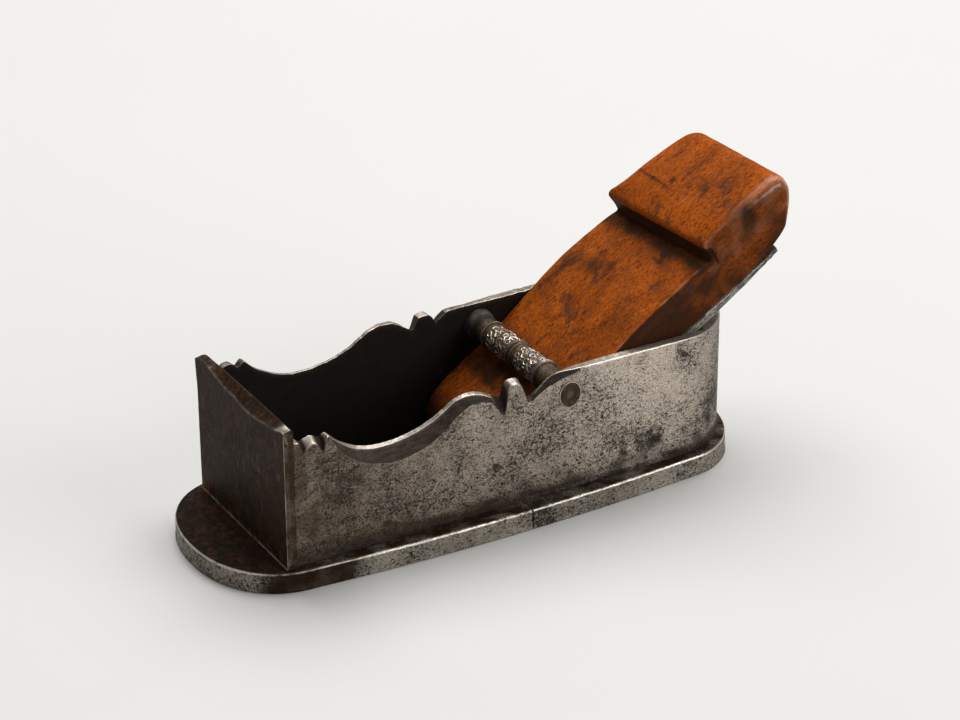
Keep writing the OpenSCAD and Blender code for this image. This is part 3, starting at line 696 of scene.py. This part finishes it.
loops = np.stack([x, y + 0.5 * rise(z, 24, 30.5) * rise(y, 15.5, 17.4), z], -1)
lip = np.hypot(x - PLATE_FRONT - set_in, z - front_top)
near_end = np.broadcast_to(rise(-y, 17.25, 17.45), x.shape)
on_slope = (z > front_top - 0.1) & (x < PLATE_BACK - 0.2)
# The lip of the worn slope is rubbed bright; the thin line down the near corner and the bright
# near end of the top are painted highlights.
rubbed = (0.45 * mark(lip, 0, 0.24) * (0.75 + 1.2 * wave)
          + 0.9 * mark(-y, 17.47, 0.05) * (x < PLATE_FRONT + 0.3)
          + 0.8 * rise(-y, 13.5, 15.5) * (z > front_top - 0.15)
          * (x < PLATE_BACK - 0.4) * (1 - near_end)
          + 0.40 * (z < FOOT_Z + 0.32) * (x < PLATE_FRONT + 0.1) * (1 - near_end))
patina = (0.95 - 0.15 * on_slope) * (1 - near_end) + 0.55 * near_end
rubbed, patina, near_end = carried(rubbed, patina, near_end)
loops = closed_ends(loops, lambda loop: np.column_stack(
    [np.full(len(loop), PLATE_FRONT + 1.05), loop[:, 1], np.clip(loop[:, 2], FOOT_Z + 1, 28.5)]))
streaks = lumps(loops * [1, 1, 0.22], 2.4, 8.0)
plate_iron = iron_finish("plate_iron", shine=0.05, Brown=(0.023, 0.0122, 0.0062, 1),
                         Stroke=(1.2, 1.6, 0.45, 1), Bare=(0.53, 0.465, 0.39, 1))
front_plate = lofted(
    "front_plate_iron", loops, plate_iron,
    rubbed=rubbed * np.clip(0.75 + 0.8 * lumps(loops, 1.6, 1.0), 0.1, 1),
    patina=patina + 0.25 * streaks * (1 - near_end), tarnish=near_end,
    pitting=0.35 + 0.15 * near_end,
    rust=0.32 + (1 - near_end) * (0.5 * rise(-loops[..., 2], -7.5, -4.2) + 0.3 * streaks
                                  + 0.12 * rise(loops[..., 2], 28.5, 29.5)),
    # Painted shade: the back face, inside the body, is painted near black.
    soot=np.where(loops[..., 0] > PLATE_BACK - 0.1, 0.85, 0.0) * (1 - near_end))
weathered(front_plate, *SHEET_WAVES, where=rise(-loops[..., 0], 42.2, 43.4))
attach(front_plate, "plane_body")
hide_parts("front_plate")


# The bridge: a turned iron bar across the body with thin raised lips, and a pattern of small
# rings and strokes punched between them. Its ends are riveted over on the side walls.

BRIDGE_X, BRIDGE_Z, TENON = 13.9, 23.7, 2.3
NECK, SWELL = 2.40, 2.60
LIPS = ((-8.75, 3.03), (-8.2, 2.98), (0.1, 2.78), (1.2, 2.84), (10.1, 2.86))
BULBS = ((-7.6, -0.6), (1.9, 9.5))
AROUND, RINGS_ROUND, RING_LINE, PUNCHED, RAISED = 160, 9, 0.105, 0.10, 0.20
RIVET = [(-17.57, 0.05), (-17.58, 0.45), (-17.575, 0.9), (-17.575, 1.3), (-17.58, 1.75),
         (-17.565, 1.98), (-17.60, 2.12), (-17.66, 2.24), (-17.66, 2.38), (-17.58, 2.52),
         (-17.35, 2.55), (-17.0, TENON), (-15.6, TENON)]


def bar_radius(y):
    radius = NECK + 1.15 * np.where(y < -9.4, np.clip((-9.4 - y) / 6.15, 0, 1) ** 3,
                                    np.clip((y - 10.4) / 5.15, 0, 1) ** 1.6 * 0.75)
    for start, end in BULBS:
        radius = radius + (SWELL - NECK) * np.sin(
            math.pi * np.clip((y - start) / (end - start), 0, 1))
    for at, high in LIPS:
        radius = np.maximum(radius, NECK + (high - NECK) * mark(y, at, 0.21))
    return radius


spread = np.linspace(-INNER_HALF, INNER_HALF, 360)
around = np.linspace(0, math.tau, AROUND, endpoint=False)
y, angle = np.meshgrid(spread, around, indexing="ij")
plain = bar_radius(y)
across = angle * SWELL
bar_points = np.stack([y, np.cos(angle) * 2.6, np.sin(angle) * 2.6], -1)
waver = lumps(bar_points, 1.6, 4.0)
ridge = np.zeros_like(y)
for start, end in BULBS:
    rows = np.linspace(start + 1.0, end - 1.2, 4)
    for row, row_y in enumerate(rows):
        for step in range(RINGS_ROUND):
            centre = math.tau * (step + 0.5 * (row % 2)) / RINGS_ROUND
            off = ((angle - centre + math.pi) % math.tau - math.pi) * SWELL
            reach = np.hypot(y - row_y, off * 0.95) + 0.10 * waver
            size, cut = (0.62, 0.0) if (row + step) % 3 else (0.50, -0.2)
            ring = mark(reach, size, RING_LINE)
            ridge = np.maximum(ridge, np.where(y - row_y > cut - 0.4, ring, 0.25 * ring))
strokes = np.abs(np.sin(across * 2.3 + y * 2.0 + 0.8 * waver)) ** 6
in_bulb = sum(band(y, s - 0.2, s + 0.3, e - 0.3, e + 0.2) for s, e in BULBS)
stroke_rows = np.clip(np.sin(y * 1.9 + 0.7) * 1.6, 0, 1)
ridge = np.maximum(ridge, 0.75 * strokes * stroke_rows) * in_bulb
ridge *= np.clip(0.75 + 0.9 * lumps(bar_points, 1.1, 6.0), 0.1, 1)
radius = plain - PUNCHED * in_bulb + RAISED * ridge
rows_y = np.r_[[p[0] for p in RIVET], spread, [-p[0] for p in RIVET[::-1]]]
rivet_r = [np.full((1, AROUND), p[1]) for p in RIVET]
rows_r = np.vstack(rivet_r + [radius] + rivet_r[::-1])
is_end = np.abs(rows_y) > 16.5
oval = 1.0 * is_end[:, None]
loops = np.stack([BRIDGE_X + rows_r * np.cos(around) * (1 - 0.07 * oval),
                  np.repeat(rows_y[:, None], AROUND, 1),
                  BRIDGE_Z + rows_r * np.sin(around) * (1 + 0.06 * oval)], -1)
no_ends = np.zeros((len(RIVET), AROUND))
lip_shine = np.clip((plain - SWELL - 0.07) * 4.2, 0, 1) * (0.7 + 0.6 * lumps(bar_points, 1.3, 2.0))
ring_shine = mark(rows_r, 2.36, 0.07) * oval * 0.8
spot_shine = mark(rows_r, 0, 0.75) * oval * 0.42
rubbed = np.vstack([no_ends, np.maximum(1.6 * ridge, lip_shine), no_ends])
bridge_iron = iron_finish("bridge_iron", bump=0.04, shine=0.08, Brown=(0.058, 0.037, 0.022, 1),
                          Stroke=(1.2, 2.4, 1.2, 1), Bare=(0.50, 0.44, 0.37, 1))
bridge = lofted(
    "bridge_bar", loops, bridge_iron, sharp=60.0, rubbed=rubbed + ring_shine + spot_shine,
    patina=np.where(oval > 0, 0.95 - ring_shine, 0.80), tarnish=np.where(oval > 0, 0.9, 0.45),
    soot=np.where(oval > 0, 0.35 * (rows_r < 2.15),
                  0.05 + 0.85 * rise(loops[..., 1], 10.4, 13.2)),
    pitting=0.25, rust=0.2)
weathered(bridge, (0.7, 0.04, 1.0), (0.35, 0.03, 2.0), where=np.repeat(~is_end, AROUND))
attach(bridge, "plane_body")
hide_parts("bridge")


# The bed block: dark hardwood that fills the back of the body and is sawn to the slope of the
# bed. Two iron pins, riveted flush in the sole, hold it from below.

BLOCK_FRONT, BLOCK_TOP, BLOCK_MIDDLE = 8.3, 27.9, 24.0
BLOCK_GAP, BELOW_BED, BLOCK_STEP = 0.05, 0.04, 0.9

wood, taken, given = effect(
    "Old wood",
    {"Along": (0.0, 0.0, 0.0, 1), "Stain": 0.0, "Handled": 0.0,
     "Light": (0.5, 0.2, 0.05, 1), "Dark": (0.2, 0.06, 0.015, 1)},
    ("Colour", "Roughness", "Height"))
spot = taken["Along"]
drift, dashes, pores, smudge = (
    mottle(wood, stretched(wood, spot, (along, across, across)), 1.0, *look)
    for along, across, look in (
        (0.05, 0.20, (4.0, 0.6, 0.8)), (1.3, 5.0, (3.0, 0.7, 0.2)), (0.6, 2.3, (3.0, 0.6, 0.6)),
        (0.13, 0.19, (5.0, 0.66, 1.0))))
tone = tint(wood, between(wood, drift, 0.36, 0.64), taken["Light"],
            tint(wood, 0.38, taken["Light"], taken["Dark"]))
tone = tint(wood, between(wood, dashes, 0.42, 0.60, 0.0, 0.80), tone, taken["Dark"])
tone = tint(wood, between(wood, pores, 0.56, 0.68, 0.0, 0.65), tone,
            dyed(wood, taken["Dark"], (0.35, 0.32, 0.3, 1)))
tone = tint(wood, between(wood, smudge, 0.53, 0.67, 0.0, 0.72), tone,
            tint(wood, between(wood, dashes, 0.35, 0.6), (0.085, 0.038, 0.018, 1),
                 (0.030, 0.018, 0.012, 1)))
# Lightens towards a pale tone for handled wear; the wedge also uses it for a painted highlight.
tone = tint(wood, times(wood, taken["Handled"], 0.8), tone,
            tint(wood, 0.5, taken["Light"], (0.75, 0.50, 0.36, 1)))
# Darkens towards near black for stains; the wedge also uses it for painted shadow and shade.
tone = tint(wood, taken["Stain"], tone, (0.022, 0.012, 0.007, 1))
feed(wood, given["Colour"], tone)
feed(wood, given["Roughness"], less(wood, between(wood, dashes, 0.3, 0.7, 0.50, 0.62),
                                    times(wood, taken["Handled"], 0.12)))
feed(wood, given["Height"], less(wood, times(wood, dashes, -0.6),
                                 between(wood, pores, 0.56, 0.68, 0.0, 0.6)))


def wood_finish(name, slope, light, dark):
    """Old hardwood whose grain runs up a slope from the toe to the heel."""
    material, tree, shader, laid = finish(name, wood, ("Stain", "Handled"), bump=0.05,
                                          shine=0.02, Light=light, Dark=dark)
    along = place(tree, "VectorRotate", rotation_type="Y_AXIS")
    feed(tree, along.inputs["Vector"], millimetres(tree))
    along.inputs["Angle"].default_value = slope
    feed(tree, laid.inputs["Along"], along.outputs[0])
    polish = place(tree, "Attribute", attribute_name="polish")
    feed(tree, shader.inputs["Coat Weight"], polish.outputs["Fac"])
    shader.inputs["Coat Roughness"].default_value = 0.2
    return material


block_half = INNER_HALF - BLOCK_GAP
block_bend = BEND - WALL - BLOCK_GAP
block_side = [(BLOCK_FRONT, -block_half), (BEND_X, -block_half)]
block_side += [(BEND_X + block_bend * math.sin(a), -BEND_Y - block_bend * math.cos(a))
               for a in bend_angles[1::2]]
block_plan = evenly(block_side + [(x, -y) for x, y in block_side[::-1]], BLOCK_STEP)
front_run = evenly([(BLOCK_FRONT, block_half), (BLOCK_FRONT, -block_half)], BLOCK_STEP)[1:-1]
block_plan = np.vstack([block_plan, front_run])
block_centre = np.array([BLOCK_MIDDLE, 0.0])
inward = block_centre - block_plan
inward /= np.linalg.norm(inward, axis=1)[:, None]


def block_top(plan):
    return np.minimum((plan[:, 0] - EDGE_X) * math.tan(BED) - BELOW_BED, BLOCK_TOP)


loops = []
for share, set_in in [(0, 1.5), (0, 0.3), (0.01, 0.0)] + [
        (k, 0.0) for k in np.linspace(0.05, 0.97, 26)] + [(0.995, 0.06), (1, 0.25), (1, 1.5)]:
    plan = block_plan + inward * set_in
    loops.append(np.column_stack([plan, FOOT_Z + (block_top(plan) - FOOT_Z) * share]))
edge_plan = loops[-1][:, :2]
for share in np.linspace(0, 0.96, 14)[1:]:
    plan = edge_plan + (block_centre - edge_plan) * share
    loops.append(np.column_stack([plan, block_top(plan)]))
loops = np.array(loops)
block_wood = wood_finish("block_wood", 0.0, (0.13, 0.055, 0.022, 1), (0.045, 0.018, 0.008, 1))
bed_block = lofted("bed_block_wood", loops, block_wood, stain=0.35 + 0.3 * lumps(loops, 6.0, 2.0),
                   handled=0.0, polish=0.0)
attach(bed_block, "plane_body")
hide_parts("bed_block")

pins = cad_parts["bed_block_pins"]
pins.data.materials.clear()
pins.data.materials.append(iron_finish("pin_iron", Rubbed=0.3, Tarnish=0.4, Patina=0.3, Rust=0.3,
                                       Soot=0.0, Pitting=0.7))


# The cutter: a flat bar of wrought iron with steel welded along its flat face, bevel up on the
# bed. It is pitted all over, its long edges are rough, and its thin tail overhangs the heel.

CUTTER_THICK, CUTTER_LENGTH, GRIND = 2.0, 74.5, math.radians(28)
THIN_FROM, THIN_TO, TAIL_UNDER = 56.0, 64.0, 1.15
STEEL_THICK, STEEL_LENGTH, STEEL_SIDE = 0.8, 38.0, 0.04
steel_front = STEEL_THICK / math.tan(GRIND)


def on_bed(u, v):
    """A place on the bed: u up its slope from the cutting edge, v square to it."""
    return (EDGE_X + u * math.cos(BED) - v * math.sin(BED),
            u * math.sin(BED) + v * math.cos(BED))


edge_y, edge_in = np.array([14.9, 15.1, 15.24, 15.3]), [0.0, 0.05, 0.16, 0.36]
columns = np.r_[-edge_y[:0:-1], np.linspace(-edge_y[0], edge_y[0], 76), edge_y[1:]]
end_set = np.interp(np.abs(columns), edge_y, edge_in)
loops = []
for y, set_in in zip(columns, end_set):
    tail = CUTTER_LENGTH - 0.5 * rise(abs(y), 10, 15.3) + 0.25 * noise.noise((y / 3, 1, 2))
    corners = [(steel_front, STEEL_THICK + 0.01),
               (CUTTER_THICK / math.tan(GRIND), CUTTER_THICK - set_in),
               (52.0, CUTTER_THICK - set_in), (tail - set_in, CUTTER_THICK - set_in),
               (tail - set_in, TAIL_UNDER + 0.5 * set_in), (THIN_TO, 0.25 + set_in),
               (THIN_FROM, set_in),
               (STEEL_LENGTH, set_in), (STEEL_LENGTH, STEEL_THICK + 0.01)]
    section = rounded(corners, [0.1, 0.3, 2.0, 0.25, 0.25, 4.0, 4.0, 0.05, 0.05],
                      [4, 104, 48, 3, 24, 18, 34, 3, 70], steps=3)
    loops.append([(x, y, z) for x, z in (on_bed(u, v) for u, v in section)])
loops = np.array(loops)
edge_wear = rise(np.abs(loops[..., 1]), 14.5, 15.2)
bar_iron = iron_finish("cutter_iron", bump=0.12, Brown=(0.050, 0.036, 0.025, 1),
                       Stroke=(0.6, 1.2, 0.6, 1), Bare=(0.52, 0.49, 0.42, 1))
cutter_iron = lofted(
    "cutter_bar", loops, bar_iron, rubbed=0.85 * edge_wear * (0.55 + 0.9 * lumps(loops, 1.2, 4.0)),
    patina=0.30 + 0.5 * lumps(loops, 4.0, 8.0), tarnish=0.35 + 0.4 * lumps(loops, 2.0, 3.0),
    pitting=1.0, rust=0.2, soot=0.0)
weathered(cutter_iron, (1.4, 0.30, 2.0), (0.6, 0.22, 5.0), where=0.25 + 0.75 * edge_wear)
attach(cutter_iron, "cutter")
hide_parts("cutter_iron")

loops = []
for y, set_in in zip(columns, end_set):
    corners = [(0.02, 0.0), (steel_front, STEEL_THICK), (STEEL_LENGTH, STEEL_THICK),
               (STEEL_LENGTH, 0.0)]
    section = rounded(corners, [0.02, 0.06, 0.05, 0.05], [8, 60, 3, 60], steps=2)
    loops.append([(x, y - math.copysign(STEEL_SIDE, y), z)
                  for x, z in (on_bed(u, v + min(set_in, 0.1)) for u, v in section)])
loops = np.array(loops)
ground_steel = iron_finish("cutter_steel", bump=0.03, Stroke=(2.5, 0.3, 2.5, 1),
                           Bare=(0.56, 0.55, 0.52, 1))
cutter_steel = lofted("cutter_steel_face", loops, ground_steel, rubbed=0.4, tarnish=0.1,
                      patina=0.1 + 0.3 * lumps(loops, 3.0, 8.0), pitting=0.2, rust=0.1, soot=0.0)
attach(cutter_steel, "cutter")
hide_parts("cutter_steel")


# The wedge: orange-brown hardwood, driven between the cutter and the bridge, with a head to
# knock it out by. Its edges are worn round, and its top is flecked, stained and scratched, with
# painted shadow under the bridge and at the step under the head, and a painted highlight on the
# head's near chamfer.

WEDGE_HALF, SEAT, STEP_U, FACE_IN, SMOOTHINGS = 15.4, 2.03, 61.3, 0.99, 24
SPINE_FROM, SPINE_TO, SPINE_V, SPINE_RISE = 10.5, 78.5, 4.0, 0.06

near_marks = [(7.6, SEAT), (6.6, 3.4), (6.8, 5.9), (9.7, 8.1), (13.5, 8.6), (25.9, 8.78),
              (43.8, 10.95), (59.4, 11.05), (62.3, 10.7), (62.0, 14.7), (67.0, 15.45),
              (81.6, 14.7), (83.4, 11.6), (82.4, 8.0), (79.6, 5.0), (74.6, 3.2), (67.0, SEAT)]
far_marks = near_marks[:6] + [
    (46.0, 11.4), (57.6, 10.8), (60.4, 10.3), (60.1, 15.0), (64.5, 15.85), (80.6, 14.2),
    (82.4, 11.2), (82.3, 8.2), (79.4, 4.9), (74.0, 3.0), (67.0, SEAT)]
mark_radii = [0.5, 1.2, 1.8, 2.6, 3.0, 6.0, 5.0, 1.2, 0.7, 1.3, 4.0, 2.4, 2.2, 3.0, 4.5, 5.0, 3.0]
mark_spans = [3, 3, 4, 8, 24, 34, 30, 6, 7, 8, 30, 6, 6, 7, 10, 12, 110]
columns = WEDGE_HALF * np.r_[-1.0, np.linspace(-0.999, -0.86, 13), np.linspace(-0.85, 0.85, 62),
                             np.linspace(0.86, 0.999, 13), 1.0]
sections = []
for y in columns:
    share = (y / WEDGE_HALF + 1) / 2
    marks = np.array(near_marks) * (1 - share) + np.array(far_marks) * share
    sections.append(rounded(marks, mark_radii, mark_spans))
sections = np.array(sections)
tangent = np.roll(sections, -1, 1) - np.roll(sections, 1, 1)
tangent /= np.maximum(np.linalg.norm(tangent, axis=2), 1e-9)[..., None]
inward = np.stack([tangent[..., 1], -tangent[..., 0]], -1)
u, v = sections[..., 0], sections[..., 1]
y_grid = np.repeat(columns[:, None], sections.shape[1], 1)
head = rise(u, 60.5, 64.5) * rise(v, 3.5, 6.5)
nose = rise(-u, -20, -9)
radius = 0.40 + 0.9 * nose + head * (1.6 + 0.9 * rise(u, 72, 82) + 0.8 * (y_grid > 0))
over_edge = np.clip(1 - (WEDGE_HALF - np.abs(y_grid)) / radius, 0, 1)
set_in = radius * (1 - np.sqrt(1 - over_edge ** 2))
sections = sections + inward * set_in[..., None]
for _ in range(SMOOTHINGS):
    eased = (np.roll(sections, 1, 1) + 2 * sections + np.roll(sections, -1, 1)) / 4
    sections += (eased - sections) * (over_edge * head)[..., None]


def spine(loop):
    """The straight line inside the wedge towards which its side faces are closed."""
    u = np.clip(loop[:, 0], SPINE_FROM, SPINE_TO)
    return np.column_stack([u, loop[:, 1], SPINE_V + SPINE_RISE * u])


flat = closed_ends(np.stack([sections[..., 0], y_grid, sections[..., 1]], -1), spine)
head, nose, over_edge = carried(head, nose, over_edge)
u, y, v = np.moveaxis(flat, -1, 0)
x, z = on_bed(u, v)
loops = np.stack([x, y, z], -1)


def smudges(*marks):
    """Dark marks on the wedge's upper faces: each one's middle, half its size, its strength."""
    return (v > 7.5) * sum(
        strength * np.exp(-((u - at_u) / half_u) ** 4 - ((y - at_y) / half_y) ** 4)
        for at_u, at_y, half_u, half_y, strength in marks)


from_step = u - STEP_U + 0.06 * y
near_side = np.maximum(rise(-y, 15.1, 15.4), (y < 0) * rise(over_edge, 0.55, 0.9))
uneven = 0.6 + 1.1 * lumps(loops, 1.7, 7.0)
# Painted shadow and real stain: the dark band at the step, where the head overhangs the shank.
stain = (0.92 * mark(from_step, 0, 1.0) * (v > 9.5) * (v < 13.4)
         + 0.7 * mark(from_step, -2.3, 1.6) * (v > 9.5) * (v < 13.2)
         + smudges((67.75, 8.2, 0.32, 6.0, 0.8), (69.5, 4.2, 0.8, 0.7, 0.85))
         # Painted shadow of the bridge bar, with dirt: the dark patch by the bar, here and at u
         # 20.5 below.
         + smudges((22.3, 4.0, 4.8, 9.0, 0.85)) * (0.85 + 0.6 * lumps(loops, 2.4, 5.0))
         + (0.15 + 0.25 * lumps(loops, 3.0, 8.0)) * (u < 60.5)
         + uneven * smudges(
             (71.5, -3.5, 1.8, 4.2, 0.5), (57.0, -5.0, 1.3, 1.5, 0.9), (49.0, 4.0, 2.8, 4.6, 0.55),
             (46.5, 9.5, 1.6, 3.0, 0.5), (35.0, 11.0, 0.9, 0.9, 0.8), (20.5, 5.0, 2.8, 8.5, 0.25),
             (28.5, 2.0, 2.0, 9.0, 0.5), (75.5, -8.0, 2.5, 2.5, 0.4))
         # The near face is darkened partly as stain, partly as painted shade.
         + near_side * (0.58 + 0.5 * mark(u, 46, 6)
                        + 0.8 * np.clip(lumps(loops, 5.0, 4.0), 0, 1) - 0.05 * rise(u, 54, 60))
         + 0.3 * rise(y, 15.1, 15.4)
         + 0.5 * np.clip(lumps(loops, 7.0, 3.0) - 0.05, 0, 1) + 0.3 * nose * (v < 6)
         + 0.6 * rise(-u, -14.5, -7.5))
near_rim = mark(y, -15.1, 0.35) * (v > 8)
# The near top edge is lightened as handled wear.
handled = 0.55 * near_rim * np.clip(0.5 + 1.8 * lumps(loops, 2.5, 9.0), 0, 1) * rise(u, 28, 34)
# Painted highlight: the head's near chamfer by the tail is lightened to a pale tone, where its
# glossier coat also sits.
polish = head * over_edge * (over_edge < 0.93) * (y < 0) * rise(u, 66, 80)
hand_worn = np.clip(0.8 + 0.8 * lumps(loops, 1.6, 2.0), 0, 1)
handled += 1.2 * polish * mark(over_edge, 0.4, 0.26) * hand_worn
loops[[0, -1], :, 1] *= FACE_IN
wedge_wood = wood_finish("wedge_wood", BED, (0.50, 0.112, 0.009, 1), (0.12, 0.021, 0.0025, 1))
wedge = lofted("wedge_wood", loops, wedge_wood, sharp=60.0, stain=np.clip(stain, 0, 0.92),
               handled=handled, polish=polish)
settled = np.ones(loops.shape[:2])
settled[[0, -1]] = 0.0
weathered(wedge, (4.0, 0.12, 3.0), (1.2, 0.06, 6.0), (14.0, 0.12, 2.0), where=settled)
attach(wedge, "wedge_body")
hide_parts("wedge")
